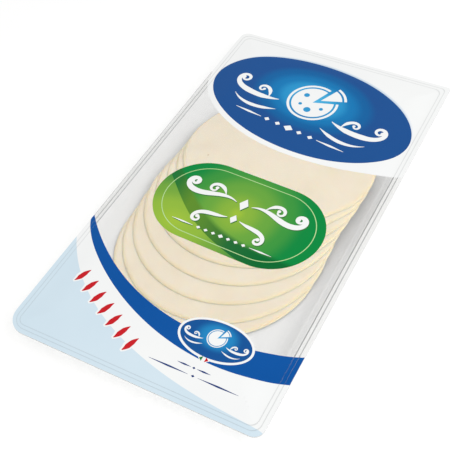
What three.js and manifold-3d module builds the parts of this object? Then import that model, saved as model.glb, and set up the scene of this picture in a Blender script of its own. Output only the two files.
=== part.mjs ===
// A sealed pack of round cheese slices: a clear thermoformed tray, the lidding film sealed to its flange,
// and eight soft slices shingled inside. Millimetres, +Z up. The origin is under the middle of the tray's
// flat underside, +Y runs along the pack towards the end that the slices were laid up to last.

import * as THREE from 'three';
import { mergeVertices } from 'three/addons/utils/BufferGeometryUtils.js';
import Module from 'manifold-3d';

const wasm = await Module();
wasm.setup();

// ---- driving dimensions, mm ----

const packWidth = 135;
const packLength = 248;

// Tray: a flange all round, walls that slope in, and a flat floor.
const trayGauge = 0.5;
const trayDepth = 10.5;
const flangeWidth = 4.4;
const floorInset = 10.8;
const rimFillet = 1.5;
const floorFillet = 2;
const flangeTop = trayGauge + trayDepth;

// Plan radii of the four corners at the cut edge, counter-clockwise from +X +Y, then at the rim and floor.
const cutCorners = [1.5, 5, 10.5, 5];
const rimCorner = 4;
const floorCorner = 9;

// Film: flat on the flange, then swelling a little over the tray.
const filmGauge = 0.3;
const filmSwell = 0.8;
const filmSwellRun = 16;
const filmSwellSteps = 5;

// Slices, the lowest first: each one is laid further along +Y than the slice below it.
const sliceRadius = 53.8;
const sliceThickness = 1.2;
const slicePitch = 1.3;
const sliceClearance = 0.15;
const sliceCentres = [
  [-2.4, -33.3],
  [-1.8, -25.5],
  [-2.1, -14.3],
  [-2.4, -2.8],
  [-1.8, 8.4],
  [-0.9, 19.4],
  [-0.5, 29.4],
  [-0.3, 36.4],
];
// A slice stays level just past the edge of the one below, then droops to the level beneath.
const droopStart = 6;
const droopRun = 12;

// Facets.
const cornerSegments = 8;
const filletSegments = 3;
const sliceSides = 64;
const gridStepX = 8;
const gridStepY = 4.5;

// ---- materials ----

const clearTray = () => new THREE.MeshStandardMaterial({
  color: new THREE.Color(0.86, 0.88, 0.88), roughness: 0.12, metalness: 0, transparent: true, opacity: 0.35,
});
const printedFilm = () => new THREE.MeshStandardMaterial({
  color: new THREE.Color(0.9, 0.92, 0.94), roughness: 0.2, metalness: 0, transparent: true, opacity: 0.5,
});
const cheese = () => new THREE.MeshStandardMaterial({
  color: new THREE.Color(0.87, 0.79, 0.63), roughness: 0.55, metalness: 0,
});

// ---- rounded outlines and the bodies lofted through them ----

// Plan radius of corner number `corner` at a distance `inset` from the cut edge: it blends from the cut
// edge to the rim across the flange, and from the rim to the floor down the wall.
function cornerRadius(corner, inset) {
  if (inset < flangeWidth) {
    return THREE.MathUtils.lerp(cutCorners[corner], rimCorner, inset / flangeWidth);
  }
  const down = THREE.MathUtils.clamp((inset - flangeWidth) / (floorInset - flangeWidth), 0, 1);
  return THREE.MathUtils.lerp(rimCorner, floorCorner, down);
}

// The rounded rectangle `inset` inside the cut edge at height z, counter-clockwise seen from above.
function outline(inset, z) {
  const points = [];
  const signs = [[1, 1], [-1, 1], [-1, -1], [1, -1]];
  signs.forEach(([sx, sy], corner) => {
    const radius = cornerRadius(corner, inset);
    const centreX = sx * (packWidth / 2 - inset - radius);
    const centreY = sy * (packLength / 2 - inset - radius);
    for (let i = 0; i <= cornerSegments; i += 1) {
      const angle = (corner + i / cornerSegments) * Math.PI / 2;
      points.push(new THREE.Vector3(
        centreX + radius * Math.cos(angle),
        centreY + radius * Math.sin(angle),
        z,
      ));
    }
  });
  return points;
}

// A closed body through a list of outlines, which start at the middle of the underside, run out round the
// edge and come back to the middle of the top. Both ends are closed by a fan round their middle.
function loft(outlines) {
  const count = outlines[0].length;
  const vertices = outlines.flat();
  const middles = [outlines[0], outlines.at(-1)].map((ring) => new THREE.Vector3(0, 0, ring[0].z));
  const underMiddle = vertices.length;
  const topMiddle = underMiddle + 1;
  const lastRing = (outlines.length - 1) * count;
  const index = [];
  for (let j = 0; j < count; j += 1) {
    const next = (j + 1) % count;
    index.push(underMiddle, next, j);
    for (let ring = 0; ring < lastRing; ring += count) {
      index.push(ring + j, ring + next, ring + count + next);
      index.push(ring + j, ring + count + next, ring + count + j);
    }
    index.push(topMiddle, lastRing + j, lastRing + next);
  }
  const geometry = new THREE.BufferGeometry().setFromPoints([...vertices, ...middles]);
  geometry.setIndex(index);
  return geometry;
}

// ---- tray ----

// Half of the tray's cross-section as [inset, z] points, from the cut edge in to the floor, on the surface
// that lies `depth` into the wall from the inside face.
function traySection(depth) {
  const slope = Math.atan2(trayDepth, floorInset - flangeWidth);
  const reach = Math.tan(slope / 2);
  const rimCentre = [flangeWidth - rimFillet * reach, flangeTop - rimFillet];
  const floorCentre = [floorInset + floorFillet * reach, trayGauge + floorFillet];
  const section = [[0, flangeTop - depth]];
  for (let i = 0; i <= filletSegments; i += 1) {
    const turn = slope * i / filletSegments;
    const radius = rimFillet - depth;
    section.push([rimCentre[0] + radius * Math.sin(turn), rimCentre[1] + radius * Math.cos(turn)]);
  }
  for (let i = filletSegments; i >= 0; i -= 1) {
    const turn = slope * i / filletSegments;
    const radius = floorFillet + depth;
    section.push([floorCentre[0] - radius * Math.sin(turn), floorCentre[1] - radius * Math.cos(turn)]);
  }
  return section;
}

function trayGeometry() {
  const outside = traySection(trayGauge).reverse();
  const inside = traySection(0);
  return loft([...outside, ...inside].map(([inset, z]) => outline(inset, z)));
}

// ---- film ----

// How far the film stands above the flange at a distance `inset` from the cut edge: nothing on the flange,
// then a parabola that levels off over the swell's run.
function swellAt(inset) {
  const along = THREE.MathUtils.clamp((inset - flangeWidth) / filmSwellRun, 0, 1);
  return filmSwell * (1 - (1 - along) ** 2);
}

function filmGeometry() {
  const insets = [0];
  for (let i = 0; i <= filmSwellSteps; i += 1) {
    insets.push(flangeWidth + filmSwellRun * i / filmSwellSteps);
  }
  const under = insets.toReversed().map((inset) => outline(inset, flangeTop + swellAt(inset)));
  const top = insets.map((inset) => outline(inset, flangeTop + filmGauge + swellAt(inset)));
  return loft([...under, ...top]);
}

// ---- slices ----

// How much of one slice's thickness carries what lies above it at (x, y): all of it over the slice and just
// past its edge, and none of it once the droop has ended.
function support([centreX, centreY], x, y) {
  const past = Math.hypot(x - centreX, y - centreY) - sliceRadius;
  return 1 - THREE.MathUtils.smoothstep(past, droopStart, droopStart + droopRun);
}

// Height of the underside of slice number `order` at (x, y): the floor, plus a pitch for each slice below.
function restingHeight(order, x, y) {
  const below = sliceCentres.slice(0, order).map((centre) => support(centre, x, y));
  return trayGauge + sliceClearance + slicePitch * below.reduce((sum, share) => sum + share, 0);
}

// Grid lines at whole multiples of a step, so that the slices' facets lie in step with one another.
function gridLines(centre, step) {
  const first = Math.floor((centre - sliceRadius) / step) - 1;
  const last = Math.ceil((centre + sliceRadius) / step) + 1;
  return Array.from({ length: last - first + 1 }, (_, i) => (first + i) * step);
}

// A rectangular sheet, draped over the slices below, that is larger than its slice all round.
function drapedSheet(order) {
  const xs = gridLines(sliceCentres[order][0], gridStepX);
  const ys = gridLines(sliceCentres[order][1], gridStepY);
  const points = [];
  for (const lift of [0, sliceThickness]) {
    for (const y of ys) {
      for (const x of xs) {
        points.push(new THREE.Vector3(x, y, restingHeight(order, x, y) + lift));
      }
    }
  }
  const columns = xs.length;
  const layer = columns * ys.length;
  const index = [];
  const quad = (a, b, c, d) => index.push(a, b, c, a, c, d);
  for (let row = 0; row + 1 < ys.length; row += 1) {
    for (let column = 0; column + 1 < columns; column += 1) {
      const a = row * columns + column;
      const corners = [a, a + 1, a + columns + 1, a + columns];
      quad(...corners.map((corner) => corner + layer));
      index.push(corners[0], corners[2], corners[1], corners[0], corners[3], corners[2]);
    }
    const left = row * columns;
    const right = left + columns - 1;
    quad(left, left + layer, left + columns + layer, left + columns);
    quad(right, right + columns, right + columns + layer, right + layer);
  }
  for (let column = 0; column + 1 < columns; column += 1) {
    const back = layer - columns + column;
    quad(column, column + 1, column + 1 + layer, column + layer);
    quad(back, back + layer, back + 1 + layer, back + 1);
  }
  const geometry = new THREE.BufferGeometry().setFromPoints(points);
  geometry.setIndex(index);
  return geometry;
}

function toSolid(geometry) {
  const bare = geometry.clone();
  bare.deleteAttribute('normal');
  bare.deleteAttribute('uv');
  const merged = mergeVertices(bare);
  return new wasm.Manifold(new wasm.Mesh({
    numProp: 3,
    vertProperties: new Float32Array(merged.attributes.position.array),
    triVerts: new Uint32Array(merged.index.array),
  }));
}

function toGeometry(solid) {
  const { vertProperties, triVerts } = solid.getMesh();
  const geometry = new THREE.BufferGeometry();
  geometry.setAttribute('position', new THREE.BufferAttribute(vertProperties, 3));
  geometry.setIndex(new THREE.BufferAttribute(triVerts, 1));
  return geometry;
}

// One slice: the draped sheet cut round by an upright cylinder as wide as the cheese.
function sliceGeometry(order) {
  const [centreX, centreY] = sliceCentres[order];
  const cutter = new THREE.CylinderGeometry(sliceRadius, sliceRadius, 4 * trayDepth, sliceSides);
  cutter.rotateX(Math.PI / 2);
  cutter.translate(centreX, centreY, 0);
  return toGeometry(toSolid(drapedSheet(order)).intersect(toSolid(cutter)));
}

// ---- the pack ----

function piece(name, geometry, material) {
  geometry.computeVertexNormals();
  const mesh = new THREE.Mesh(geometry, material);
  mesh.name = name;
  return mesh;
}

const pack = new THREE.Group();
pack.name = 'cheese_slice_pack';
pack.add(piece('tray', trayGeometry(), clearTray()));
sliceCentres.forEach((_, order) => {
  pack.add(piece(`slice_${order + 1}`, sliceGeometry(order), cheese()));
});
pack.add(piece('film', filmGeometry(), printedFilm()));

export default pack;
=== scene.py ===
import math

import bmesh
import bpy
import numpy as np
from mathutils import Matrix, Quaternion, Vector


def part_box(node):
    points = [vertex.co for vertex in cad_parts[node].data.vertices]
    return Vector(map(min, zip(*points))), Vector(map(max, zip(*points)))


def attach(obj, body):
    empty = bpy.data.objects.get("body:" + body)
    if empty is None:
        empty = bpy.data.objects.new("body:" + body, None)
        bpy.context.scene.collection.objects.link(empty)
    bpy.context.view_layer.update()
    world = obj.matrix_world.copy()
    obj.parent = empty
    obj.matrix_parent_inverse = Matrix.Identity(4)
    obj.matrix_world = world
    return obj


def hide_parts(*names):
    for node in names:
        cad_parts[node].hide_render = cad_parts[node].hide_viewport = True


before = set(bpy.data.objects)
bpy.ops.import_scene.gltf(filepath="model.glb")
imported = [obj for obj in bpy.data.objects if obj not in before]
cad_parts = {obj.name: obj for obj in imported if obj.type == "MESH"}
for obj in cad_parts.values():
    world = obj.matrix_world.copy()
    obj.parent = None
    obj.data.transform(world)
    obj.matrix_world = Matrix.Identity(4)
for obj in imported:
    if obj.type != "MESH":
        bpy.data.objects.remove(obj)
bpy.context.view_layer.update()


# ---- studio ----
# The pack lies alone on a white sheet, under a broad soft light from its right side, and an even white
# surround. It is seen from above its front right corner, from a little over 40 cm away.

VIEW_CENTRE = Vector((0.0072, -0.0290, 0.0113))
VIEW_DISTANCE = 0.4296
VIEW_AZIMUTH = math.radians(31.06)
VIEW_ELEVATION = math.radians(49.57)
VIEW_ROLL = math.radians(-4.59)
VIEW_LENS = 64.75
SHEET_SIZE = 3.0
SHEET_DROP = 0.00005
SHEET_WHITE = (0.88, 0.88, 0.877)
SURROUND_STRENGTH = 0.85
LAMP_AZIMUTH = math.radians(80)
LAMP_ELEVATION = math.radians(50)
LAMP_DISTANCE = 1.8
LAMP_SIZE = 1.2
LAMP_POWER = 17.0


def heading(azimuth, elevation):
    """Unit vector from the pack towards a place that is `azimuth` round to the right of the front (-Y) and
    `elevation` above the sheet."""
    level = math.cos(elevation)
    return Vector((math.sin(azimuth) * level, -math.cos(azimuth) * level, math.sin(elevation)))


camera_data = bpy.data.cameras.new("studio_camera")
camera_data.lens = VIEW_LENS
camera_data.sensor_width = 36.0
camera_data.clip_start = 0.01
camera = bpy.data.objects.new("studio_camera", camera_data)
towards_camera = heading(VIEW_AZIMUTH, VIEW_ELEVATION)
camera.location = VIEW_CENTRE + VIEW_DISTANCE * towards_camera
camera.rotation_mode = "QUATERNION"
camera.rotation_quaternion = (-towards_camera).to_track_quat("-Z", "Y") @ Quaternion((0, 0, 1), VIEW_ROLL)
bpy.context.scene.collection.objects.link(camera)
bpy.context.scene.camera = camera
bpy.context.scene.view_settings.view_transform = "Standard"

lamp_data = bpy.data.lights.new("soft_lamp", "AREA")
lamp_data.shape = "DISK"
lamp_data.size = LAMP_SIZE
lamp_data.energy = LAMP_POWER
lamp = bpy.data.objects.new("soft_lamp", lamp_data)
towards_lamp = heading(LAMP_AZIMUTH, LAMP_ELEVATION)
lamp.location = LAMP_DISTANCE * towards_lamp
lamp.rotation_mode = "QUATERNION"
lamp.rotation_quaternion = (-towards_lamp).to_track_quat("-Z", "Y")
bpy.context.scene.collection.objects.link(lamp)

surround = bpy.data.worlds.new("white_surround")
surround.use_nodes = True
surround.node_tree.nodes["Background"].inputs["Color"].default_value = (1, 1, 1, 1)
surround.node_tree.nodes["Background"].inputs["Strength"].default_value = SURROUND_STRENGTH
bpy.context.scene.world = surround

sheet_mesh = bpy.data.meshes.new("white_sheet")
half_sheet = SHEET_SIZE / 2
sheet_mesh.from_pydata(
    [(x * half_sheet, y * half_sheet, -SHEET_DROP) for x, y in ((-1, -1), (1, -1), (1, 1), (-1, 1))],
    [],
    [(0, 1, 2, 3)],
)
white_sheet = bpy.data.objects.new("white_sheet", sheet_mesh)
bpy.context.scene.collection.objects.link(white_sheet)
sheet_white = bpy.data.materials.new("sheet_white")
sheet_white.use_nodes = True
sheet_surface = sheet_white.node_tree.nodes["Principled BSDF"]
sheet_surface.inputs["Base Color"].default_value = (*SHEET_WHITE, 1)
sheet_surface.inputs["Roughness"].default_value = 0.9
sheet_surface.inputs["Specular IOR Level"].default_value = 0.0
sheet_mesh.materials.append(sheet_white)


# ---- tray ----
# The tray is one sheet of clear plastic, drawn by heat and vacuum into a shallow mould and cut out with a
# flange all round. Its walls lean outwards, and every bend is rounded where the sheet stretched over it.

MM = 0.001
tray_low, tray_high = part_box("tray")
PACK_WIDTH = (tray_high.x - tray_low.x) / MM
PACK_LENGTH = (tray_high.y - tray_low.y) / MM
FLANGE_TOP = tray_high.z / MM
TRAY_GAUGE = 0.5
FLANGE_WIDTH = 4.4
FLOOR_INSET = 10.8
RIM_FILLET = 1.5
FLOOR_FILLET = 2.0
CUT_CORNERS = (1.5, 5.0, 10.5, 5.0)
RIM_CORNER = 4.0
FLOOR_CORNER = 9.0
CORNER_STEPS = 14
SIDE_STEPS = 12
FILLET_STEPS = 8
FLOOR_RINGS = 6
CLEAR_REFLECTANCE = 0.018
GRAZING_REFLECTANCE = 0.5
TRAY_TINT = (0.991, 0.991, 0.99)
TRAY_HAZE = 0.012
SEALED_TINT = (0.966, 0.966, 0.963)
SEALED_HAZE = 0.03
# The cut edges are tinted dark grey and hazy: painted shade for the dark line that cut edges of clear plastic
# show.
CUT_EDGE_SHADE_TINT = (0.55, 0.56, 0.56)
CUT_EDGE_SHADE_HAZE = 0.35
MIRROR_ROUGHNESS = 0.08
FALL_OFF_POWER = 5.0
STREAK_STRETCH = (400, 40, 120)
HAZE_WHITE = (0.8, 0.8, 0.8, 1)


def rounded_outline(inset):
    """Plan points of the rounded rectangle `inset` inside the cut edge, counter-clockwise from the right
    side: four corner arcs, whose radii blend from the cut edge to the rim and on to the floor, with points
    along the straight sides between them. An array of insets gives one row of points for each."""
    inset = np.atleast_1d(np.asarray(inset, float))[:, None]
    xs = []
    ys = []
    for corner, (side_x, side_y) in enumerate(((1, 1), (-1, 1), (-1, -1), (1, -1))):
        stations = (0, FLANGE_WIDTH, FLOOR_INSET)
        radius = np.interp(inset, stations, (CUT_CORNERS[corner], RIM_CORNER, FLOOR_CORNER))
        turn = (corner + np.linspace(0, 1, CORNER_STEPS + 1))[None, :] * math.pi / 2
        xs.append(side_x * (PACK_WIDTH / 2 - inset - radius) + radius * np.cos(turn))
        ys.append(side_y * (PACK_LENGTH / 2 - inset - radius) + radius * np.sin(turn))
    along = np.linspace(0, 1, SIDE_STEPS + 1)[1:-1]
    outline_x = []
    outline_y = []
    for corner in range(4):
        following = (corner + 1) % 4
        for values, outline in ((xs, outline_x), (ys, outline_y)):
            start = values[corner][:, -1:]
            end = values[following][:, :1]
            outline += [values[corner], start + (end - start) * along]
    return np.hstack(outline_x), np.hstack(outline_y)


def tray_section(depth):
    """Inset and height along half of the tray's section, from the cut edge in to the floor, on the surface
    `depth` into the wall: level flange, arc over the rim, straight wall, arc into the floor."""
    slope = math.atan2(FLANGE_TOP - TRAY_GAUGE, FLOOR_INSET - FLANGE_WIDTH)
    reach = math.tan(slope / 2)
    turn = np.linspace(0, slope, FILLET_STEPS + 1)
    rim = RIM_FILLET - depth
    foot = FLOOR_FILLET + depth
    rim_inset = FLANGE_WIDTH - RIM_FILLET * reach + rim * np.sin(turn)
    rim_height = FLANGE_TOP - RIM_FILLET + rim * np.cos(turn)
    foot_inset = FLOOR_INSET + FLOOR_FILLET * reach - foot * np.sin(turn[::-1])
    foot_height = TRAY_GAUGE + FLOOR_FILLET - foot * np.cos(turn[::-1])
    inset = np.concatenate([[0.0], rim_inset, foot_inset])
    height = np.concatenate([[FLANGE_TOP - depth], rim_height, foot_height])
    return inset, height


def grid_quads(rows, columns, around=False):
    """Quads between neighbouring points of a grid whose point (row, column) has number
    row * columns + column; `around` also joins the last column to the first."""
    last = columns if around else columns - 1
    row, column = np.meshgrid(np.arange(rows - 1), np.arange(last), indexing="ij")
    here = row * columns + column
    beside = row * columns + (column + 1) % columns
    return np.stack([here, beside, beside + columns, here + columns], axis=-1).reshape(-1, 4)


def make_piece(name, points, quads, material, smooth_angle=40):
    """A piece from an array of points in millimetres and an array of quads. Points that coincide are merged,
    which closes seams and poles, and bends sharper than `smooth_angle` degrees stay crisp."""
    mesh = bpy.data.meshes.new(name)
    mesh.from_pydata((points * MM).tolist(), [], quads.tolist())
    edit = bmesh.new()
    edit.from_mesh(mesh)
    bmesh.ops.remove_doubles(edit, verts=edit.verts, dist=0.0005 * MM)
    edit.to_mesh(mesh)
    edit.free()
    mesh.shade_smooth()
    mesh.set_sharp_from_angle(angle=math.radians(smooth_angle))
    mesh.materials.append(material)
    piece = bpy.data.objects.new(name, mesh)
    bpy.context.scene.collection.objects.link(piece)
    return piece


def add_node(tree, kind, constants=None, **settings):
    """A new shader node of a kind, given its settings first and then the constants on its sockets."""
    node = tree.nodes.new("ShaderNode" + kind)
    for setting, value in settings.items():
        setattr(node, setting, value)
    for socket, value in (constants or {}).items():
        node.inputs[socket].default_value = value
    return node


def clear_plastic(name, tint, haze):
    """Thin clear plastic: what it passes is tinted, and a mirror share rises with the slant, as the fifth
    power of one less the cosine, up to what a thin wavy sheet gives back at a grazing view. A little haze
    scatters white, and fine streaks vary it."""
    material = bpy.data.materials.new(name)
    material.use_nodes = True
    tree = material.node_tree
    tree.nodes.clear()
    link = tree.links.new
    output = add_node(tree, "OutputMaterial")
    passed = add_node(tree, "BsdfTransparent", {"Color": (*tint, 1)})
    mirror = add_node(tree, "BsdfGlossy", {"Roughness": MIRROR_ROUGHNESS})
    slant = add_node(tree, "LayerWeight", {"Blend": 0.5})
    steep = add_node(tree, "Math", {1: FALL_OFF_POWER}, operation="POWER")
    rise = {1: GRAZING_REFLECTANCE - CLEAR_REFLECTANCE, 2: CLEAR_REFLECTANCE}
    share = add_node(tree, "Math", rise, operation="MULTIPLY_ADD")
    glossy = add_node(tree, "MixShader")
    link(slant.outputs["Facing"], steep.inputs[0])
    link(steep.outputs[0], share.inputs[0])
    link(share.outputs[0], glossy.inputs["Fac"])
    link(passed.outputs[0], glossy.inputs[1])
    link(mirror.outputs[0], glossy.inputs[2])

    place = add_node(tree, "TexCoord")
    stretch = add_node(tree, "Mapping", {"Scale": STREAK_STRETCH})
    streaks = add_node(tree, "TexNoise", {"Scale": 1.0, "Detail": 4.0})
    haze_range = {"From Min": 0.3, "From Max": 0.7, "To Min": 0.5 * haze, "To Max": 1.5 * haze}
    amount = add_node(tree, "MapRange", haze_range)
    scatter = add_node(tree, "BsdfDiffuse", {"Color": HAZE_WHITE})
    hazy = add_node(tree, "MixShader")
    link(place.outputs["Object"], stretch.inputs["Vector"])
    link(stretch.outputs[0], streaks.inputs["Vector"])
    link(streaks.outputs["Fac"], amount.inputs["Value"])
    link(amount.outputs[0], hazy.inputs["Fac"])
    link(glossy.outputs[0], hazy.inputs[1])
    link(scatter.outputs[0], hazy.inputs[2])
    link(hazy.outputs[0], output.inputs["Surface"])
    return material


outer_inset, outer_height = tray_section(TRAY_GAUGE)
inner_inset, inner_height = tray_section(0.0)
wall_inset = np.concatenate([outer_inset[::-1], inner_inset])
wall_height = np.concatenate([outer_height[::-1], inner_height])
wall_x, wall_y = rounded_outline(wall_inset)
wall_z = np.broadcast_to(wall_height[:, None], wall_x.shape)
spread = np.linspace(0, 1, FLOOR_RINGS + 1)[:, None]
under_floor = np.stack([wall_x[:1] * spread, wall_y[:1] * spread, 0 * spread * wall_x[:1]], axis=-1)[:-1]
on_floor = under_floor[::-1] + (0, 0, TRAY_GAUGE)
wall = np.stack([wall_x, wall_y, wall_z], axis=-1)
tray_grid = np.concatenate([under_floor, wall, on_floor])
tray_piece = make_piece(
    "clear_tray",
    tray_grid.reshape(-1, 3),
    grid_quads(*tray_grid.shape[:2], around=True),
    clear_plastic("clear_tray_plastic", TRAY_TINT, TRAY_HAZE),
)
# Cut edges get a dark grey, hazy plastic: painted shade along the outline.
cut_edge_shaded_plastic = clear_plastic("cut_edge_shaded_plastic", CUT_EDGE_SHADE_TINT, CUT_EDGE_SHADE_HAZE)
tray_piece.data.materials.append(cut_edge_shaded_plastic)
tray_piece.data.materials.append(clear_plastic("sealed_flange_plastic", SEALED_TINT, SEALED_HAZE))
face_count = len(tray_piece.data.polygons)
face_normals = np.empty(3 * face_count)
tray_piece.data.polygons.foreach_get("normal", face_normals)
face_centres = np.empty(3 * face_count)
tray_piece.data.polygons.foreach_get("center", face_centres)
upright = np.abs(face_normals.reshape(-1, 3)[:, 2])
centre_height = face_centres.reshape(-1, 3)[:, 2] / MM
on_flange = (upright > 0.99) & (centre_height > FLANGE_TOP - 1.5 * TRAY_GAUGE)
cut_or_sealed = np.where(upright < 0.3, 1, np.where(on_flange, 2, 0))
tray_piece.data.polygons.foreach_set("material_index", cut_or_sealed.astype(np.int32))
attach(tray_piece, "root")
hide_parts("tray")


# ---- cheese slices ----
# Eight round slices, cut cold from one loaf on a slicer and laid from the front to the back of the tray,
# each over the one before. They are pale and supple, so each bends down over the edges beneath it.

SLICE_CENTRES = (
    (-2.4, -33.3),
    (-1.8, -25.5),
    (-2.1, -14.3),
    (-2.4, -2.8),
    (-1.8, 8.4),
    (-0.9, 19.4),
    (-0.5, 29.4),
    (-0.3, 36.4),
)
SLICE_RADIUS = 53.8
SLICE_THICKNESS = 1.27
SLICE_PITCH = 1.3
SLICE_CLEARANCE = 0.15
DROOP_START = 6.0
DROOP_RUN = 12.0
SLICE_SIDES = 192
SLICE_RINGS = 26
UPPER_ROUNDING = (2.2, 1.13)
LOWER_ROUNDING = (0.06, 0.06)
EDGE_STEPS = 7
RIM_START = 2.7
RIM_RUN = 2.7
# The next tint darkens and yellows the cream near each rim: partly the edge's own tone, partly painted shade
# for the soft lines between overlapping slices.
RIM_TINT_AND_SHADE = (0.99, 0.945, 0.82)
EDGE_WOBBLE = 0.14
CREAM_TONES = ((0.3, (0.770, 0.678, 0.538, 1)), (0.7, (0.796, 0.714, 0.583, 1)))
LIGHT_DEPTH = 0.0016
LIGHT_REACH = (1.0, 0.75, 0.5)
GRAIN_STRETCH = (260, 1100, 800)
SPECK_PLACE = (-34.8, 17.1)
SPECK_RADIUS = 0.7
SPECK_SHARE = 0.55
SPECK_BROWN = (0.42, 0.27, 0.14, 1)


def smoothstep(value, start, run):
    """0 before start, 1 from start + run on, and the cubic 3t^2 - 2t^3 of the way t between."""
    way = np.clip((value - start) / run, 0, 1)
    return way * way * (3 - 2 * way)


def resting_height(order, x, y):
    """Height of a slice's underside: the tray's floor, and one pitch for each slice below, less the share of
    it that has drooped away past that slice's edge."""
    carried = np.zeros_like(x)
    for centre_x, centre_y in SLICE_CENTRES[:order]:
        past = np.hypot(x - centre_x, y - centre_y) - SLICE_RADIUS
        carried += 1 - smoothstep(past, DROOP_START, DROOP_RUN)
    return TRAY_GAUGE + SLICE_CLEARANCE + SLICE_PITCH * carried


def slice_grid(order):
    """Closed grid of one slice. Its section runs out along the underside, round the cut edge in a tight
    quarter circle and then a long quarter ellipse, and back along the top; it is turned about the centre,
    the edge wobbles by a few slow waves, and every point is raised by the resting height there."""
    spread = np.sin(np.linspace(0, math.pi / 2, SLICE_RINGS))
    bend = np.linspace(0, math.pi / 2, EDGE_STEPS + 1)[1:]
    sections = []
    for run, rise in (LOWER_ROUNDING, UPPER_ROUNDING):
        flat = SLICE_RADIUS - run
        sections.append(
            (
                np.concatenate([flat * spread, flat + run * np.sin(bend)]),
                np.concatenate([0 * spread, rise * (1 - np.cos(bend))]),
            )
        )
    (lower_out, lower_up), (upper_out, upper_down) = sections
    out = np.concatenate([lower_out, upper_out[::-1]])
    up = np.concatenate([lower_up, SLICE_THICKNESS - upper_down[::-1]])
    turn = np.linspace(0, 2 * math.pi, SLICE_SIDES, endpoint=False)[None, :]
    waves = np.random.default_rng(40 + order)
    phase = waves.uniform(0, 2 * math.pi, 3)
    wobble = sum(np.sin((count + 2) * turn + phase[count]) / (count + 2) for count in range(3))
    radius = out[:, None] * (1 + EDGE_WOBBLE * (wobble - 1) / SLICE_RADIUS)
    centre_x, centre_y = SLICE_CENTRES[order]
    x = centre_x + radius * np.cos(turn)
    y = centre_y + radius * np.sin(turn)
    return np.stack([x, y, resting_height(order, x, y) + up[:, None]], axis=-1)


def fill_ramp(ramp, stops):
    """Sets a colour ramp from (position, colour) pairs, of which the first two go to its own two stops."""
    for number, (position, colour) in enumerate(stops):
        stop = ramp.elements[number] if number < 2 else ramp.elements.new(position)
        stop.position = position
        stop.color = colour


def cheese_flesh():
    """Smooth semi-hard cheese: pale cream in soft cloudy patches that turns yellower and a little darker
    near the rim, partly the slice edge's own tone and partly painted shade where each slice's edge rounds
    down onto the one below; with light carried some way below the surface, a faint grain left by the
    slicer, and one small brown speck."""
    material = bpy.data.materials.new("provolone_flesh")
    material.use_nodes = True
    tree = material.node_tree
    link = tree.links.new
    surface = tree.nodes["Principled BSDF"]
    surface.inputs["Roughness"].default_value = 0.5
    surface.inputs["Specular IOR Level"].default_value = 0.15
    surface.inputs["Subsurface Weight"].default_value = 1.0
    surface.inputs["Subsurface Radius"].default_value = LIGHT_REACH
    surface.inputs["Subsurface Scale"].default_value = LIGHT_DEPTH
    place = add_node(tree, "TexCoord")
    clouds = add_node(tree, "TexNoise", {"Scale": 55, "Detail": 5})
    cream = add_node(tree, "ValToRGB")
    fill_ramp(cream.color_ramp, CREAM_TONES)
    link(place.outputs["Object"], clouds.inputs["Vector"])
    link(clouds.outputs["Fac"], cream.inputs["Fac"])

    # Painted shade, with some of the edge's own tone: the cream is darkened and yellowed near each rim.
    near_rim = add_node(tree, "Attribute", attribute_name="near_rim")
    rim_shade_colour = {"B": (*RIM_TINT_AND_SHADE, 1)}
    rim_shaded = add_node(tree, "Mix", rim_shade_colour, data_type="RGBA", blend_type="MULTIPLY")
    link(near_rim.outputs["Fac"], rim_shaded.inputs["Factor"])
    link(cream.outputs["Color"], rim_shaded.inputs["A"])

    top_slice = len(SLICE_CENTRES) - 1
    speck_x, speck_y = np.array(SPECK_PLACE)[:, None]
    speck_z = float(resting_height(top_slice, speck_x, speck_y)[0]) + SLICE_THICKNESS
    from_speck = add_node(tree, "VectorMath", operation="DISTANCE")
    from_speck.inputs[1].default_value = Vector((*SPECK_PLACE, speck_z)) * MM
    reach = {"From Min": 0.4 * SPECK_RADIUS * MM, "From Max": SPECK_RADIUS * MM}
    speck_edge = add_node(tree, "MapRange", {**reach, "To Min": SPECK_SHARE, "To Max": 0.0})
    speckled = add_node(tree, "Mix", {"B": SPECK_BROWN}, data_type="RGBA")
    link(place.outputs["Object"], from_speck.inputs[0])
    link(from_speck.outputs["Value"], speck_edge.inputs["Value"])
    link(speck_edge.outputs[0], speckled.inputs["Factor"])
    link(rim_shaded.outputs["Result"], speckled.inputs["A"])
    link(speckled.outputs["Result"], surface.inputs["Base Color"])

    drag = add_node(tree, "Mapping", {"Scale": GRAIN_STRETCH})
    grain = add_node(tree, "TexNoise", {"Scale": 1.0, "Detail": 6})
    relief = add_node(tree, "Bump", {"Strength": 0.25, "Distance": 0.0001})
    link(place.outputs["Object"], drag.inputs["Vector"])
    link(drag.outputs[0], grain.inputs["Vector"])
    link(grain.outputs["Fac"], relief.inputs["Height"])
    link(relief.outputs[0], surface.inputs["Normal"])
    return material


flesh = cheese_flesh()
for order in range(len(SLICE_CENTRES)):
    grid = slice_grid(order)
    cheese_slice = make_piece(
        f"cheese_slice_{order + 1}",
        grid.reshape(-1, 3),
        grid_quads(*grid.shape[:2], around=True),
        flesh,
    )
    slice_points = np.empty(3 * len(cheese_slice.data.vertices))
    cheese_slice.data.vertices.foreach_get("co", slice_points)
    slice_plan = slice_points.reshape(-1, 3)[:, :2] / MM - SLICE_CENTRES[order]
    from_rim = SLICE_RADIUS - np.hypot(*slice_plan.T)
    near_rim = cheese_slice.data.attributes.new("near_rim", "FLOAT", "POINT")
    near_rim.data.foreach_set("value", 1 - smoothstep(from_rim, RIM_START - RIM_RUN, RIM_RUN))
    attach(cheese_slice, "root")
    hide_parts(f"slice_{order + 1}")


# ---- lidding film ----
# A thin clear film is drawn tight over the filled tray, heat-sealed to the flange and cut with it to one
# outline. Inside the rim it stands a little proud of the flange, and it is never quite flat.

FILM_GAUGE = 0.12
FILM_GAP = 0.02
FILM_SWELL = 0.75
SWELL_RUN = 16.0
SWELL_CORNER = 7.0
SLACK = 0.03
CORNER_COLUMNS = 14
FILM_STEP = 1.5
FILM_TINT = (0.992, 0.992, 0.991)
FILM_HAZE = 0.008


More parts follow.
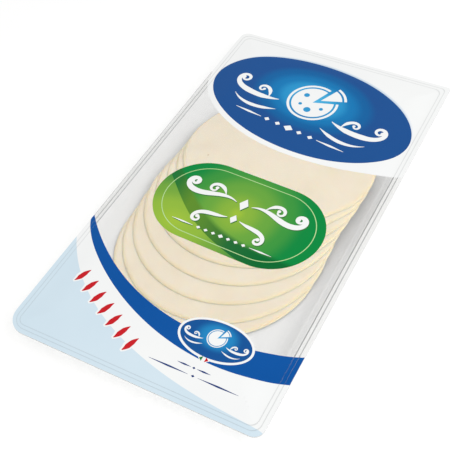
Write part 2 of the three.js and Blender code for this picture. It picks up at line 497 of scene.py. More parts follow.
def film_top(x, y):
    """Height of the film's upper face over a plan point. The way in from the cut edge is the distance to a
    rectangle with round corners; from the flange's inner edge the film rises smoothly to its full swell, as
    the square of 2u - u^2, and it carries two slow waves of slack."""
    beyond_x = np.abs(x) - (PACK_WIDTH / 2 - SWELL_CORNER)
    beyond_y = np.abs(y) - (PACK_LENGTH / 2 - SWELL_CORNER)
    outside = np.hypot(np.maximum(beyond_x, 0), np.maximum(beyond_y, 0))
    inset = SWELL_CORNER - outside - np.minimum(np.maximum(beyond_x, beyond_y), 0)
    way = np.clip((inset - FLANGE_WIDTH) / SWELL_RUN, 0, 1)
    rise = (2 * way - way**2) ** 2
    slack = SLACK * (np.sin(x / 7.3 + y / 19.0) + np.sin(y / 11.7 - x / 23.0))
    return FLANGE_TOP + FILM_GAP + FILM_GAUGE + rise * (FILM_SWELL + slack)


def edge_reach(x, side):
    """How far the pack's cut edge reaches along Y at a place x, towards the back (side 1) or front (-1): the
    straight end, drawn in by an arc at each corner."""
    back_right, back_left, front_left, front_right = CUT_CORNERS
    left_radius, right_radius = (back_left, back_right) if side > 0 else (front_left, front_right)
    radius = np.where(x < 0, left_radius, right_radius)
    into_corner = np.clip(np.abs(x) - (PACK_WIDTH / 2 - radius), 0, radius)
    return side * (PACK_LENGTH / 2 - radius + np.sqrt(radius**2 - into_corner**2))


def columns_across(left, right, step):
    """Places along X from left to right at about `step` apart, closer and closer together near the pack's two
    sides so that its round corners stay round."""
    round_off = np.cos(np.linspace(0, math.pi / 2, CORNER_COLUMNS + 1))
    corner = max(CUT_CORNERS)
    inner = PACK_WIDTH / 2 - corner
    plain = np.linspace(left, right, max(2, int((right - left) / step) + 1))
    near_left = -inner - corner * round_off
    near_right = inner + corner * round_off
    plain = plain[np.abs(plain) < inner]
    places = np.concatenate([[left, right], plain, near_left, near_right])
    places = np.unique(np.round(places, 4))
    return places[(places >= left) & (places <= right)]


film_x = columns_across(-PACK_WIDTH / 2, PACK_WIDTH / 2, FILM_STEP)
film_rows = np.linspace(0, 1, int(PACK_LENGTH / FILM_STEP))[:, None]
front_reach = edge_reach(film_x, -1)
back_reach = edge_reach(film_x, 1)
film_y = front_reach + (back_reach - front_reach) * film_rows
film_x = np.broadcast_to(film_x, film_y.shape)
film_upper = np.stack([film_x, film_y, film_top(film_x, film_y)], axis=-1)
film_piece = make_piece(
    "lidding_film",
    film_upper.reshape(-1, 3),
    grid_quads(*film_upper.shape[:2]),
    clear_plastic("lidding_film_plastic", FILM_TINT, FILM_HAZE),
)
film_piece.data.materials.append(cut_edge_shaded_plastic)
gauge = film_piece.modifiers.new("gauge", "SOLIDIFY")
gauge.thickness = FILM_GAUGE * MM
gauge.offset = -1
gauge.material_offset_rim = 1
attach(film_piece, "root")
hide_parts("film")


# ---- seal lines ----
# The sealing tool presses two fine ridges into the lid all round the flange: one along the rim of the tray
# and one further out. They show through the print as thin grey lines, partly by the shading of their
# relief and partly by painted shade: their plastic is tinted grey.

RIM_SEAL_INSET = 4.3
OUTER_SEAL_INSET = 2.3
SEAL_WIDTH = 0.5
SEAL_HEIGHT = 0.1
SEAL_SINK = 0.03
# The ridges' plastic is tinted grey: painted shade for the thin seal lines.
SEAL_SHADE_TINT = (0.9, 0.905, 0.905)
PRESSED_HAZE = 0.06


def seal_ridge(name, inset, width, material):
    """A low ridge along the outline `inset` inside the cut edge. Its section is half a sine wave, `width`
    wide, closed underneath by a flat sole sunk into the lid."""
    crown = np.linspace(-0.5, 0.5, 7)
    across = inset + width * np.concatenate([crown, [0.5, -0.5]])
    raised = np.concatenate([SEAL_HEIGHT * np.cos(math.pi * crown), [-SEAL_SINK, -SEAL_SINK]])
    x, y = rounded_outline(across)
    z = film_top(x, y) + raised[:, None]
    ring = np.stack([x, y, z], axis=-1)
    ring = np.concatenate([ring, ring[:1]])[::-1]
    ridge = make_piece(name, ring.reshape(-1, 3), grid_quads(*ring.shape[:2], around=True), material)
    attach(ridge, "root")
    return ridge


seal_line_plastic = clear_plastic("seal_line_shaded_plastic", SEAL_SHADE_TINT, PRESSED_HAZE)
seal_ridge("rim_seal_line", RIM_SEAL_INSET, SEAL_WIDTH, seal_line_plastic)
seal_ridge("outer_seal_line", OUTER_SEAL_INSET, SEAL_WIDTH, seal_line_plastic)


# ---- white grounds ----
# Opaque white ink lies under both ends of the print. The large one covers the back end of the film, down to
# a border round the big oval; the small one covers the front end below a sweeping curve.

LAYER_PITCH = 0.022
INK_GAUGE = 0.014
INK_STEP = 1.8
OVAL_CENTRE = (-0.6, 75.2)
OVAL_HALF_LENGTH = 63.1
OVAL_HALF_HEIGHT = 36.8
OVAL_TILT = math.radians(-8.2)
OVAL_BORDER = 3.4
WHITE_END_HEIGHT = 44.5
WHITE_END_POWER = 2.2
BAND_TOP_CURVE = ((-67.5, -46.9), (-20.4, -98.1), (38.8, -91.8), (67.5, -78.9))
LIGHT_LEVEL = 1.21
WHITE_SHEEN = 0.1
DARK_SHEEN = 0.07
INK_ROUGHNESS = 0.3
GROUND_TUCK = 0.5


def seen_colour(red, green, blue):
    """Base colour of an ink from the colour it is seen in, on the usual 0 to 255 screen scale: made linear,
    and divided by how much stronger the light is than one that shows a perfect white as just white."""
    screen = np.maximum(np.array([red, green, blue]) / 255, 0)
    return (*(((screen + 0.055) / 1.055) ** 2.4 / LIGHT_LEVEL), 1.0)


def ink(name, shades, sheen=WHITE_SHEEN):
    """Glossy printing ink. Its shades run across a slow noise, so that the tone drifts a little, and a fine
    grain of relief keeps the gloss from being glassy."""
    material = bpy.data.materials.new(name)
    material.use_nodes = True
    tree = material.node_tree
    link = tree.links.new
    surface = tree.nodes["Principled BSDF"]
    surface.inputs["Roughness"].default_value = INK_ROUGHNESS
    surface.inputs["Specular IOR Level"].default_value = sheen
    place = add_node(tree, "TexCoord")
    drift = add_node(tree, "TexNoise", {"Scale": 30, "Detail": 3})
    tone = add_node(tree, "ValToRGB", name="tone")
    fill_ramp(tone.color_ramp, zip((0.25, 0.75), shades))
    fine = add_node(tree, "TexNoise", {"Scale": 1500})
    relief = add_node(tree, "Bump", {"Strength": 0.08, "Distance": 0.00005})
    link(place.outputs["Object"], drift.inputs["Vector"])
    link(drift.outputs["Fac"], tone.inputs["Fac"])
    link(tone.outputs["Color"], surface.inputs["Base Color"])
    link(place.outputs["Object"], fine.inputs["Vector"])
    link(fine.outputs["Fac"], relief.inputs["Height"])
    link(relief.outputs[0], surface.inputs["Normal"])
    return material


def print_on_film(name, patches, layer, material):
    """One printed layer. Every patch is a grid of plan points (x, y, around); its points lie on the film's
    upper face, `layer` pitches up, its quads face upwards, and the sheet is thickened downwards."""
    points = []
    quads = []
    count = 0
    for x, y, around in patches:
        z = film_top(x, y) + layer * LAYER_PITCH
        patch_quads = grid_quads(*x.shape, around=around)
        flat_x = x.ravel()[patch_quads]
        flat_y = y.ravel()[patch_quads]
        area = np.sum(flat_x * np.roll(flat_y, -1, axis=1) - flat_y * np.roll(flat_x, -1, axis=1))
        if area < 0:
            patch_quads = patch_quads[:, ::-1]
        points.append(np.stack([x, y, z], axis=-1).reshape(-1, 3))
        quads.append(patch_quads + count)
        count += x.size
    piece = make_piece(name, np.concatenate(points), np.concatenate(quads), material)
    piece.data.shade_flat()
    thickness = piece.modifiers.new("ink_thickness", "SOLIDIFY")
    thickness.thickness = INK_GAUGE * MM
    thickness.offset = -1
    piece.visible_shadow = False
    piece.visible_diffuse = False
    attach(piece, "root")
    return piece


def field_between(x, low, high):
    """Patch between two curves y = low and y = high over the same places x, in rows about a step apart."""
    rows = np.linspace(0, 1, max(2, int(np.max(high - low) / INK_STEP) + 1))[:, None]
    y = low + (high - low) * rows
    return np.broadcast_to(x, y.shape), y, False


def sweep(handles, x):
    """Height at places x of the cubic curve through four handles, the first and last of which it meets."""
    way = np.linspace(0, 1, 400)
    shares = ((1 - way) ** 3, 3 * (1 - way) ** 2 * way, 3 * (1 - way) * way**2, way**3)
    curve_x = sum(share * handle[0] for share, handle in zip(shares, handles))
    curve_y = sum(share * handle[1] for share, handle in zip(shares, handles))
    return np.interp(x, curve_x, curve_y)


def oval_lower_edge(x, grow):
    """Height at places x of the lower half of the big oval, grown by `grow` all round: the lower root of the
    tilted ellipse's equation. Left of the ellipse it keeps the height of its left tip."""
    long = OVAL_HALF_LENGTH + grow
    short = OVAL_HALF_HEIGHT + grow
    cosine = math.cos(OVAL_TILT)
    sine = math.sin(OVAL_TILT)
    square = (sine / long) ** 2 + (cosine / short) ** 2
    cross = (1 / long**2 - 1 / short**2) * sine * cosine
    plain = (cosine / long) ** 2 + (sine / short) ** 2
    half_width = math.sqrt(square / (square * plain - cross**2))
    across = np.clip(x - OVAL_CENTRE[0], -half_width, half_width)
    under_root = np.maximum((cross * across) ** 2 - square * (plain * across**2 - 1), 0)
    return OVAL_CENTRE[1] + (-cross * across - np.sqrt(under_root)) / square


def white_end_edge(x):
    """Lower edge of the large white ground: round the oval's border to its lowest place, and then up to the
    right side along a power of the way from there."""
    scan = np.linspace(-PACK_WIDTH / 2, PACK_WIDTH / 2, 1000)
    border = oval_lower_edge(scan, OVAL_BORDER)
    lowest = scan[np.argmin(border)]
    way = np.clip((x - lowest) / (PACK_WIDTH / 2 - lowest), 0, 1)
    beyond = border.min() + (WHITE_END_HEIGHT - border.min()) * way**WHITE_END_POWER
    return np.where(x < lowest, oval_lower_edge(x, OVAL_BORDER), beyond)


across_pack = columns_across(-PACK_WIDTH / 2, PACK_WIDTH / 2, INK_STEP)
white_ink = ink("white_ink", (seen_colour(243, 244, 244), seen_colour(246, 247, 246)))
white_end_top = sweep(BAND_TOP_CURVE, across_pack) - GROUND_TUCK
print_on_film(
    "white_print_grounds",
    [
        field_between(across_pack, white_end_edge(across_pack), edge_reach(across_pack, 1)),
        field_between(across_pack, edge_reach(across_pack, -1), white_end_top),
    ],
    1,
    white_ink,
)


# ---- sweeping fields ----
# Across the front end a deep blue band follows the curve of the white ground, and a pale blue field fills
# the front left corner below a second, steeper curve.

BAND_LOW_CURVE = ((-67.5, -50.0), (-59.0, -70.1), (6.0, -117.7), (67.5, -94.6))
PALE_CURVE = ((-67.5, -63.2), (-28.0, -125.9), (66.0, -116.5), (67.5, -120.9))

band_blue = ink("band_blue_ink", (seen_colour(4, 80, 156), seen_colour(10, 86, 164)), DARK_SHEEN)
band_top = sweep(BAND_TOP_CURVE, across_pack)
band_low = sweep(BAND_LOW_CURVE, across_pack)
print_on_film("blue_sweeping_band", [field_between(across_pack, band_low, band_top)], 2, band_blue)
pale_blue = ink("pale_blue_ink", (seen_colour(208, 226, 237), seen_colour(213, 230, 240)))
pale_top = np.maximum(sweep(PALE_CURVE, across_pack), edge_reach(across_pack, -1))
print_on_film(
    "pale_blue_corner_field",
    [field_between(across_pack, edge_reach(across_pack, -1), pale_top)],
    2,
    pale_blue,
)


# ---- big blue oval ----
# The back end carries a large tilted oval in deep blue that brightens to cyan above its middle. A soft blue
# shade is printed under it and shows along its upper edge.

OVAL_RINGS = 26
OVAL_SIDES = 200
GLOW_PLACE = (-0.7, 81.3)
GLOW_SIZE = (40.0, 27.0)
SHADE_SHIFT = (0.5, 2.0)


def oval_patch(centre, long, short, tilt, rings, sides, inner=0.0):
    """Patch over an ellipse, or over the part of it outside `inner` of its size: rings of growing size round
    the centre, turned by the tilt."""
    size = np.linspace(inner, 1, rings)[:, None]
    turn = np.linspace(0, 2 * math.pi, sides, endpoint=False)[None, :]
    along = long * size * np.cos(turn)
    up = short * size * np.sin(turn)
    x = centre[0] + along * math.cos(tilt) - up * math.sin(tilt)
    y = centre[1] + along * math.sin(tilt) + up * math.cos(tilt)
    return x, y, True


def add_glow(material, place, size, tilt, ramp):
    """Recolours an ink by its distance from a place, measured in a turned frame in units of `size`, through a
    ramp of (distance, colour) pairs."""
    tree = material.node_tree
    link = tree.links.new
    surface = tree.nodes["Principled BSDF"]
    tone = tree.nodes["tone"]
    where = add_node(tree, "TexCoord")
    frame_of_glow = add_node(tree, "Mapping", vector_type="TEXTURE")
    frame_of_glow.inputs["Location"].default_value = (place[0] * MM, place[1] * MM, 0)
    frame_of_glow.inputs["Rotation"].default_value = (0, 0, tilt)
    frame_of_glow.inputs["Scale"].default_value = (size[0] * MM, size[1] * MM, 1)
    ball = add_node(tree, "VectorMath", operation="LENGTH")
    colours = add_node(tree, "ValToRGB")
    colours.color_ramp.interpolation = "EASE"
    fill_ramp(colours.color_ramp, ramp)
    drifted = add_node(tree, "Mix", {"Factor": 1.0}, data_type="RGBA", blend_type="MULTIPLY")
    link(where.outputs["Object"], frame_of_glow.inputs["Vector"])
    link(frame_of_glow.outputs[0], ball.inputs[0])
    link(ball.outputs["Value"], colours.inputs["Fac"])
    link(colours.outputs["Color"], drifted.inputs["A"])
    link(tone.outputs["Color"], drifted.inputs["B"])
    link(drifted.outputs["Result"], surface.inputs["Base Color"])


DRIFT_TONE = ((0.96, 0.96, 0.96, 1), (1, 1, 1, 1))
shade_centre = (OVAL_CENTRE[0] + SHADE_SHIFT[0], OVAL_CENTRE[1] + SHADE_SHIFT[1])
shade_blue = ink("oval_shade_ink", DRIFT_TONE)
add_glow(
    shade_blue,
    shade_centre,
    (OVAL_HALF_LENGTH, OVAL_HALF_HEIGHT),
    OVAL_TILT,
    (
        (0.92, seen_colour(150, 182, 212)),
        (1.0, seen_colour(246, 247, 248)),
        (0.96, seen_colour(205, 221, 234)),
    ),
)
print_on_film(
    "oval_soft_shade",
    [oval_patch(shade_centre, OVAL_HALF_LENGTH, OVAL_HALF_HEIGHT, OVAL_TILT, 8, OVAL_SIDES, inner=0.85)],
    2,
    shade_blue,
)
oval_blue = ink("oval_blue_ink", DRIFT_TONE, DARK_SHEEN)
add_glow(
    oval_blue,
    GLOW_PLACE,
    GLOW_SIZE,
    OVAL_TILT,
    (
        (0.0, seen_colour(80, 182, 230)),
        (1.0, seen_colour(28, 82, 148)),
        (0.24, seen_colour(64, 172, 220)),
        (0.42, seen_colour(42, 150, 206)),
        (0.6, seen_colour(20, 122, 184)),
        (0.82, seen_colour(16, 99, 162)),
    ),
)
print_on_film(
    "blue_oval",
    [oval_patch(OVAL_CENTRE, OVAL_HALF_LENGTH, OVAL_HALF_HEIGHT, OVAL_TILT, OVAL_RINGS, OVAL_SIDES)],
    3,
    oval_blue,
)


# ---- oval emblem ----
# A generic ornament in white ink stands in the oval: a cheese wheel with a wedge drawn out of it, leafy
# scrolls to both sides, and a row of lozenges. It is printed flat on the film with everything else.

EMBLEM_WHEEL = (0.0, 4.0)
EMBLEM_RADIUS = 15.0
WEDGE_SHIFT = 5.0
WEDGE_MIDDLE = 50
WEDGE_HALF_ANGLE = 25
RIND_SHARE = 0.9
FACE_SHARE = 0.82


def curl(start, heading_degrees, bends, length, count):
    """Path of a pen that sets out along a heading and turns at a rate that runs through the bends, in radians
    a millimetre: its direction is the running sum of the rate, its place the running sum of the direction."""
    gone = np.linspace(0, length, count)
    rate = np.interp(gone, np.linspace(0, length, len(bends)), bends)
    pace = length / (count - 1)
    turned = np.concatenate([[0], np.cumsum((rate[1:] + rate[:-1]) / 2)]) * pace
    direction = math.radians(heading_degrees) + turned
    x = np.concatenate([[0], np.cumsum((np.cos(direction[1:]) + np.cos(direction[:-1])) / 2)]) * pace
    y = np.concatenate([[0], np.cumsum((np.sin(direction[1:]) + np.sin(direction[:-1])) / 2)]) * pace
    return start[0] + x, start[1] + y


def stroke(path, widths):
    """Patch of a tapered ribbon: the path, and its two edges half a width to either side of it, at right
    angles to its slope. The widths are spread evenly along the path."""
    x, y = path
    slope_x = np.gradient(x)
    slope_y = np.gradient(y)
    pace = np.hypot(slope_x, slope_y)
    half = 0.5 * np.interp(np.linspace(0, 1, len(x)), np.linspace(0, 1, len(widths)), widths)
    side = np.array([[-1.0], [0.0], [1.0]])
    return x - side * half * slope_y / pace, y + side * half * slope_x / pace, False


def curled_leaf(start, heading_degrees, bends, length, count, widths, bud):
    """A curl drawn as a tapered ribbon, with a round bud of the given radius on its end."""
    path = curl(start, heading_degrees, bends, length, count)
    return [stroke(path, widths), disc((path[0][-1], path[1][-1]), bud, sides=24)]


def disc(centre, radius, start=0.0, end=360.0, inner=0.0, sides=64):
    """Patch of a disc, of a sector from one angle to another, or of a ring from `inner` of its radius out."""
    size = np.linspace(inner, 1, 4)[:, None]
    turn = np.radians(np.linspace(start, end, sides))[None, :]
    return centre[0] + radius * size * np.cos(turn), centre[1] + radius * size * np.sin(turn), False


def lozenge(centre, half_x, half_y):
    """Patch of a lozenge, as one quad between its four points."""
    x = centre[0] + np.array([[-half_x, 0.0], [0.0, half_x]])
    y = centre[1] + np.array([[0.0, -half_y], [half_y, 0.0]])
    return x, y, False


def both_sides(patches):
    """The patches and their mirror images in the upright axis."""
    return patches + [(-x, y, around) for x, y, around in patches]


def placed(patches, centre, tilt=0.0, scale=1.0):
    """Patches moved from an ornament's own axes onto the film: scaled, turned by the tilt, then shifted."""
    cosine = scale * math.cos(tilt)
    sine = scale * math.sin(tilt)
    return [
        (centre[0] + x * cosine - y * sine, centre[1] + x * sine + y * cosine, around)
        for x, y, around in patches
    ]


def wheel_and_wedge(holes=False):
    """Patches of the cut wheel and its drawn wedge, each a thin rind ring round a paler face; or of the small
    round holes in the wheel's face."""
    wheel_x, wheel_y = EMBLEM_WHEEL
    if holes:
        places = ((-6.2, 3.8, 1.7), (0.5, -6.8, 2.1), (-5.6, -4.4, 1.1), (7.2, -2.4, 1.2))
        return [disc((wheel_x + x, wheel_y + y), radius, sides=24) for x, y, radius in places]
    middle = math.radians(WEDGE_MIDDLE)
    tip = (wheel_x + WEDGE_SHIFT * math.cos(middle), wheel_y + WEDGE_SHIFT * math.sin(middle))
    wheel_turn = (WEDGE_MIDDLE + WEDGE_HALF_ANGLE, WEDGE_MIDDLE - WEDGE_HALF_ANGLE + 360)
    wedge_turn = (WEDGE_MIDDLE - WEDGE_HALF_ANGLE + 2, WEDGE_MIDDLE + WEDGE_HALF_ANGLE - 2)
    face = FACE_SHARE * EMBLEM_RADIUS
    return [
        disc(EMBLEM_WHEEL, EMBLEM_RADIUS, *wheel_turn, inner=RIND_SHARE),
        disc(EMBLEM_WHEEL, face, *wheel_turn),
        disc(tip, EMBLEM_RADIUS, *wedge_turn, inner=RIND_SHARE, sides=20),
        disc(tip, face, *wedge_turn, sides=20),
    ]


side_scrolls = both_sides(
    curled_leaf(
        (18.0, -4.0), -22, (0.03, 0.025, 0.02, 0.12, 0.36, 0.52), 51, 160, (0.4, 3.4, 3.9, 2.9, 2.0, 1.2), 1.5
    )
    + curled_leaf(
        (24.5, -5.0), 78, (-0.04, -0.12, -0.24, -0.5, -0.85), 19, 110, (0.4, 2.3, 2.0, 1.4, 0.8), 0.9
    )
    + [stroke(curl((15.0, -12.0), -24, (0.01, 0.03, 0.045, 0.06), 30, 60), (0.2, 2.2, 2.4, 1.6, 0.2))]
)
lozenge_row = [lozenge((0, -21.5), 3.0, 2.4)] + both_sides(
    [
        lozenge((7.2, -21.5), 1.7, 1.5),
        lozenge((14.4, -21.5), 1.7, 1.5),
        stroke(curl((18.5, -21.5), 0, (0, 0), 17.5, 12), (0.3, 1.5, 0.2)),
    ]
)
emblem_patches = placed(wheel_and_wedge() + side_scrolls + lozenge_row, OVAL_CENTRE, OVAL_TILT)
print_on_film("oval_emblem", emblem_patches, 4, white_ink)
hole_blue = ink("emblem_hole_ink", (seen_colour(46, 150, 206), seen_colour(54, 158, 212)), DARK_SHEEN)
print_on_film("oval_emblem_holes", placed(wheel_and_wedge(True), OVAL_CENTRE, OVAL_TILT), 5, hole_blue)


# ---- green label ----
# In the middle of the clear window sits a green label with round ends, printed in blends of green. A dark
# crescent sweeps through it above a lime corner, and a fine pale line follows its edge.

LABEL_CENTRE = (0.4, -15.0)
LABEL_HALF_LENGTH = 47.45
LABEL_HALF_HEIGHT = 27.4
LABEL_TILT = math.radians(-2.4)
LABEL_LINE_INSETS = (5.1, 3.8)
LABEL_LINE_WIDTH = 0.45
LABEL_SIDES = 160
LIME_EDGE = ((-47.4, 9.7), (-23.4, -12.0), (-16.9, -18.8), (14.7, -27.2))
CRESCENT_EDGE = ((-44.7, 17.6), (-10.4, -13.1), (-0.6, -18.3), (46.3, -16.1))
CRESCENT_FADE = 3.0


def round_ended_outline(half_length, half_height, sides):
    """Points of a bar with half-circle ends: a circle of the half height, its right and left halves moved
    apart, with points spread along the two straight sides between them."""
    turn = np.linspace(-math.pi / 2, math.pi / 2, sides // 3)
    straight = half_length - half_height
    run = np.linspace(1, -1, sides // 6)[1:-1]
    right_x = straight + half_height * np.cos(turn)
    right_y = half_height * np.sin(turn)
    x = np.concatenate([right_x, straight * run, -right_x, -straight * run])
    y = np.concatenate([right_y, half_height + 0 * run, -right_y, -half_height + 0 * run])
    return x, y


def label_field():
    """Patch of the whole label in its own axes: its outline drawn in to the centre in rings."""
    outer_x, outer_y = round_ended_outline(LABEL_HALF_LENGTH, LABEL_HALF_HEIGHT, LABEL_SIDES)
    way = np.linspace(0, 1, 20)[:, None]
    return outer_x * way, outer_y * way, True


def label_line():
    """Patch of the line inside the label's edge: a ring from half a width inside to half a width outside a
    smaller outline of the same kind."""
    half_length = LABEL_HALF_LENGTH - LABEL_LINE_INSETS[0]
    half_height = LABEL_HALF_HEIGHT - LABEL_LINE_INSETS[1]
    grown = [
        round_ended_outline(half_length + grow, half_height + grow, LABEL_SIDES)
        for grow in (0.5 * LABEL_LINE_WIDTH, -0.5 * LABEL_LINE_WIDTH)
    ]
    return np.stack([ring[0] for ring in grown]), np.stack([ring[1] for ring in grown]), True


def label_share(low_curve, high_curve, start, end):
    """Patch, in the label's own axes, of the part between two curves, each kept within the round-ended
    outline. Either curve may be None for the outline itself. Places along X crowd together towards the
    round ends."""
    x = LABEL_HALF_LENGTH * np.sin(np.linspace(math.asin(start), math.asin(end), 120))
    past_straight = np.maximum(np.abs(x) - (LABEL_HALF_LENGTH - LABEL_HALF_HEIGHT), 0)
    reach = np.sqrt(np.maximum(LABEL_HALF_HEIGHT**2 - past_straight**2, 0))
    low = -reach if low_curve is None else np.clip(sweep(low_curve, x), -reach, reach)
    high = reach if high_curve is None else np.clip(sweep(high_curve, x), -reach, reach)
    return field_between(x, low, np.maximum(low, high))


def label_green_ink(name):
    """The label's main green: lime round its middle, deepening to full green at its ends and top."""
    material = ink(name, DRIFT_TONE, DARK_SHEEN)
    add_glow(
        material,
        (0.0, -15.5),
        (42.0, 46.0),
        0.0,
        (
            (0.0, seen_colour(160, 195, 58)),
            (1.0, seen_colour(0, 138, 64)),
            (0.14, seen_colour(138, 182, 62)),
            (0.4, seen_colour(106, 168, 64)),
            (0.65, seen_colour(62, 152, 64)),
            (0.88, seen_colour(10, 138, 64)),
        ),
    )
    return material


def crescent_ink():
    """The label's main green turning, over a short way below the crescent's upper edge, into a dark olive
    that runs to deep green along X. How far below that edge a point lies comes from the mesh."""
    material = label_green_ink("label_crescent_ink")
    tree = material.node_tree
    link = tree.links.new
    surface = tree.nodes["Principled BSDF"]
    main_green = surface.inputs["Base Color"].links[0].from_socket
    where = add_node(tree, "TexCoord")
    axes = add_node(tree, "SeparateXYZ")
    along = add_node(tree, "MapRange", {"From Min": -45 * MM, "From Max": 25 * MM})
    dark = add_node(tree, "ValToRGB")
    fill_ramp(
        dark.color_ramp,
        (
            (0.0, seen_colour(20, 116, 56)),
            (1.0, seen_colour(0, 106, 48)),
            (0.1, seen_colour(44, 120, 50)),
            (0.27, seen_colour(96, 143, 44)),
            (0.4, seen_colour(92, 141, 46)),
            (0.6, seen_colour(66, 124, 48)),
            (0.72, seen_colour(32, 108, 52)),
        ),
    )
    below = add_node(tree, "Attribute", attribute_name="below_edge")
    fade = add_node(tree, "MapRange", {"From Max": CRESCENT_FADE})
    blend = add_node(tree, "Mix", data_type="RGBA")
    link(where.outputs["Object"], axes.inputs[0])
    link(axes.outputs["X"], along.inputs["Value"])
    link(along.outputs[0], dark.inputs["Fac"])
    link(below.outputs["Fac"], fade.inputs["Value"])
    link(fade.outputs[0], blend.inputs["Factor"])
    link(main_green, blend.inputs["A"])
    link(dark.outputs["Color"], blend.inputs["B"])
    link(blend.outputs["Result"], surface.inputs["Base Color"])
    return material


label_place = (LABEL_CENTRE, LABEL_TILT)
print_on_film("green_label", placed([label_field()], *label_place), 1, label_green_ink("label_green_ink"))
lime_green = ink("label_lime_ink", DRIFT_TONE, DARK_SHEEN)
add_glow(
    lime_green,
    (-28.0, -33.0),
    (42.0, 30.0),
    0.0,
    (
        (0.0, seen_colour(162, 196, 62)),
        (1.0, seen_colour(78, 148, 66)),
        (0.35, seen_colour(148, 188, 64)),
        (0.7, seen_colour(118, 170, 64)),
    ),
)
lime_patch = label_share(None, LIME_EDGE, -1.0, 0.32)
print_on_film("label_lime_corner", placed([lime_patch], *label_place), 2, lime_green)
crescent_patch = label_share(LIME_EDGE, CRESCENT_EDGE, -0.97, 1.0)
crescent = print_on_film("label_dark_crescent", placed([crescent_patch], *label_place), 2, crescent_ink())
crescent_points = np.empty(3 * len(crescent.data.vertices))
crescent.data.vertices.foreach_get("co", crescent_points)
from_centre_x, from_centre_y = (crescent_points.reshape(-1, 3)[:, :2] / MM - LABEL_CENTRE).T
crescent_x = from_centre_x * math.cos(LABEL_TILT) + from_centre_y * math.sin(LABEL_TILT)
crescent_y = from_centre_y * math.cos(LABEL_TILT) - from_centre_x * math.sin(LABEL_TILT)
below_edge = crescent.data.attributes.new("below_edge", "FLOAT", "POINT")
below_edge.data.foreach_set("value", sweep(CRESCENT_EDGE, crescent_x) - crescent_y)
line_green = ink("label_line_ink", (seen_colour(180, 216, 150), seen_colour(192, 226, 162)))
print_on_film("green_label_line", placed([label_line()], *label_place), 3, line_green)


# ---- label ornament ----
# White scrolls and lozenges fill the label, over a dark green copy of themselves that is printed a little
# to the lower right as a drop shadow.

DROP_SHADOW = (0.5, -0.5)

label_scrolls = both_sides(
    curled_leaf(
        (4.5, 6.5),
        28,
        (-0.1, -0.05, 0.02, 0.1, 0.3, 0.55, 0.7),
        52,
        180,
        (0.3, 2.2, 3.2, 3.4, 2.4, 1.7, 1.0),
        1.3,
    )
    + curled_leaf((12.0, 8.6), 60, (-0.05, -0.14, -0.26, -0.5, -0.7), 20, 110, (0.3, 2.2, 2.0, 1.4, 0.8), 1.0)
    + curled_leaf(
        (3.6, -4.6), -22, (0.07, 0.02, -0.05, -0.2, -0.48, -0.8), 28, 140, (0.3, 2.0, 2.6, 2.2, 1.6, 0.9), 1.1
    )
    + [lozenge((4.4 * place, -17.6), 1.2, 1.0) for place in (1, 2, 3)]
    + [stroke(curl((16.5, -17.6), 0, (0, 0), 12.5, 12), (0.2, 1.0, 0.15))]
)
label_ornament = label_scrolls + [
    lozenge((0, 6.5), 2.6, 4.2),
    lozenge((0, -4.6), 2.0, 3.0),
    lozenge((0, -17.6), 1.5, 1.3),
]
shadow_centre = (LABEL_CENTRE[0] + DROP_SHADOW[0], LABEL_CENTRE[1] + DROP_SHADOW[1])
shadow_green = ink("label_shadow_ink", (seen_colour(50, 112, 52), seen_colour(58, 120, 58)), DARK_SHEEN)
shadow_patches = placed(label_ornament, shadow_centre, LABEL_TILT)
print_on_film("label_ornament_shadow", shadow_patches, 4, shadow_green)
print_on_film("label_ornament", placed(label_ornament, *label_place), 5, white_ink)


# ---- small oval badge ----
# A small blue oval with a white border repeats the wheel and scrolls near the front right corner.

BADGE_CENTRE = (27.5, -88.6)
BADGE_HALF_SIZES = (19.2, 11.1)
BADGE_BORDER = 1.2
BADGE_SCALE = 0.33
BADGE_RINGS = 12
BADGE_SIDES = 96

badge_inner = (BADGE_HALF_SIZES[0] - BADGE_BORDER, BADGE_HALF_SIZES[1] - BADGE_BORDER)
badge_outer_patch = oval_patch(BADGE_CENTRE, *BADGE_HALF_SIZES, 0.0, BADGE_RINGS, BADGE_SIDES)
badge_inner_patch = oval_patch(BADGE_CENTRE, *badge_inner, 0.0, BADGE_RINGS, BADGE_SIDES)
print_on_film("badge_ground", [badge_outer_patch], 3, white_ink)
badge_blue = ink("badge_blue_ink", DRIFT_TONE, DARK_SHEEN)
add_glow(
    badge_blue,
    (BADGE_CENTRE[0], BADGE_CENTRE[1] + 2.0),
    (12.5, 9.0),
    0.0,
    (
        (0.0, seen_colour(66, 170, 222)),
        (1.0, seen_colour(20, 84, 152)),
        (0.5, seen_colour(34, 134, 194)),
    ),
)
print_on_film("badge_oval", [badge_inner_patch], 4, badge_blue)
badge_motif = placed(wheel_and_wedge() + side_scrolls, BADGE_CENTRE, 0.0, BADGE_SCALE)
print_on_film("badge_motif", badge_motif, 5, white_ink)


# ---- small print ----
# A row of slanted red brush strokes in a white halo runs down across the band at the front left. A tiny
# lozenge in three colours and fine dark blue rules stand near the front edge.

BRUSH_START = (-51.9, -87.4)
BRUSH_STEP = (7.1, -4.0)
BRUSH_COUNT = 7
BRUSH_HEADING = 52
BRUSH_BENDS = (0.13, 0.0, -0.13)
BRUSH_LENGTH = 9.5
BRUSH_POINTS = 24
HALO_WIDTH = 1.9
HALO_BACK = (0.62, 0.79)
SHIELD_CENTRE = (27.2, -99.7)

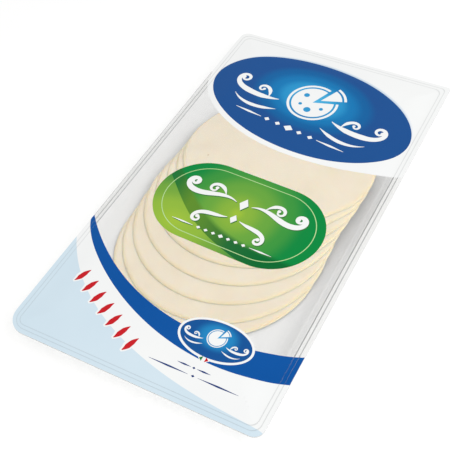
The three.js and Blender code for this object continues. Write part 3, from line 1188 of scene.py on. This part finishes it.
brush_feet = [
    (BRUSH_START[0] + BRUSH_STEP[0] * number, BRUSH_START[1] + BRUSH_STEP[1] * number)
    for number in range(BRUSH_COUNT)
]
halo_reach = 0.4 * HALO_WIDTH
halo_length = BRUSH_LENGTH + 2 * halo_reach
halo_feet = [(x - HALO_BACK[0] * halo_reach, y - HALO_BACK[1] * halo_reach) for x, y in brush_feet]
halo_strokes = [
    stroke(
        curl(foot, BRUSH_HEADING, BRUSH_BENDS, halo_length, BRUSH_POINTS),
        (1.4, 2.9 + HALO_WIDTH, 2.6 + HALO_WIDTH, 1.2),
    )
    for foot in halo_feet
]
print_on_film("brush_halo", halo_strokes, 3, white_ink)
brush_strokes = [
    stroke(curl(foot, BRUSH_HEADING, BRUSH_BENDS, BRUSH_LENGTH, BRUSH_POINTS), (0.4, 2.9, 2.6, 0.3))
    for foot in brush_feet
]
brush_red = ink("brush_red_ink", (seen_colour(196, 26, 36), seen_colour(206, 34, 42)), DARK_SHEEN)
print_on_film("brush_strokes", brush_strokes, 4, brush_red)

print_on_film("tiny_shield_ground", [lozenge(SHIELD_CENTRE, 2.9, 2.4)], 3, white_ink)
shield_x = np.array([[0.8, 0.8], [2.4, 2.4]])
shield_y = np.array([[-1.35, 1.35], [0.0, 0.0]])
shield_green = ink("shield_green_ink", (seen_colour(30, 120, 60), seen_colour(36, 128, 66)), DARK_SHEEN)
print_on_film("tiny_shield_green", placed([(-shield_x, shield_y, False)], SHIELD_CENTRE), 4, shield_green)
print_on_film("tiny_shield_red", placed([(shield_x, shield_y, False)], SHIELD_CENTRE), 4, brush_red)

rule_blue = ink("rule_blue_ink", (seen_colour(38, 62, 120), seen_colour(46, 70, 128)), DARK_SHEEN)
rule_taper = (0.12, 0.9, 0.12)
rules = [
    stroke(curl((17.0, -105.6), 0, (0, 0), 7.0, 12), rule_taper),
    lozenge((25.5, -105.6), 0.8, 0.6),
    stroke(curl((27.0, -105.6), 0, (0, 0), 7.0, 12), rule_taper),
    stroke(curl((4.0, -109.4), 0, (0, 0), 20.5, 20), rule_taper),
    lozenge((27.0, -109.4), 0.9, 0.65),
    stroke(curl((29.5, -109.4), 0, (0, 0), 20.5, 20), rule_taper),
]
print_on_film("fine_rules", rules, 3, rule_blue)
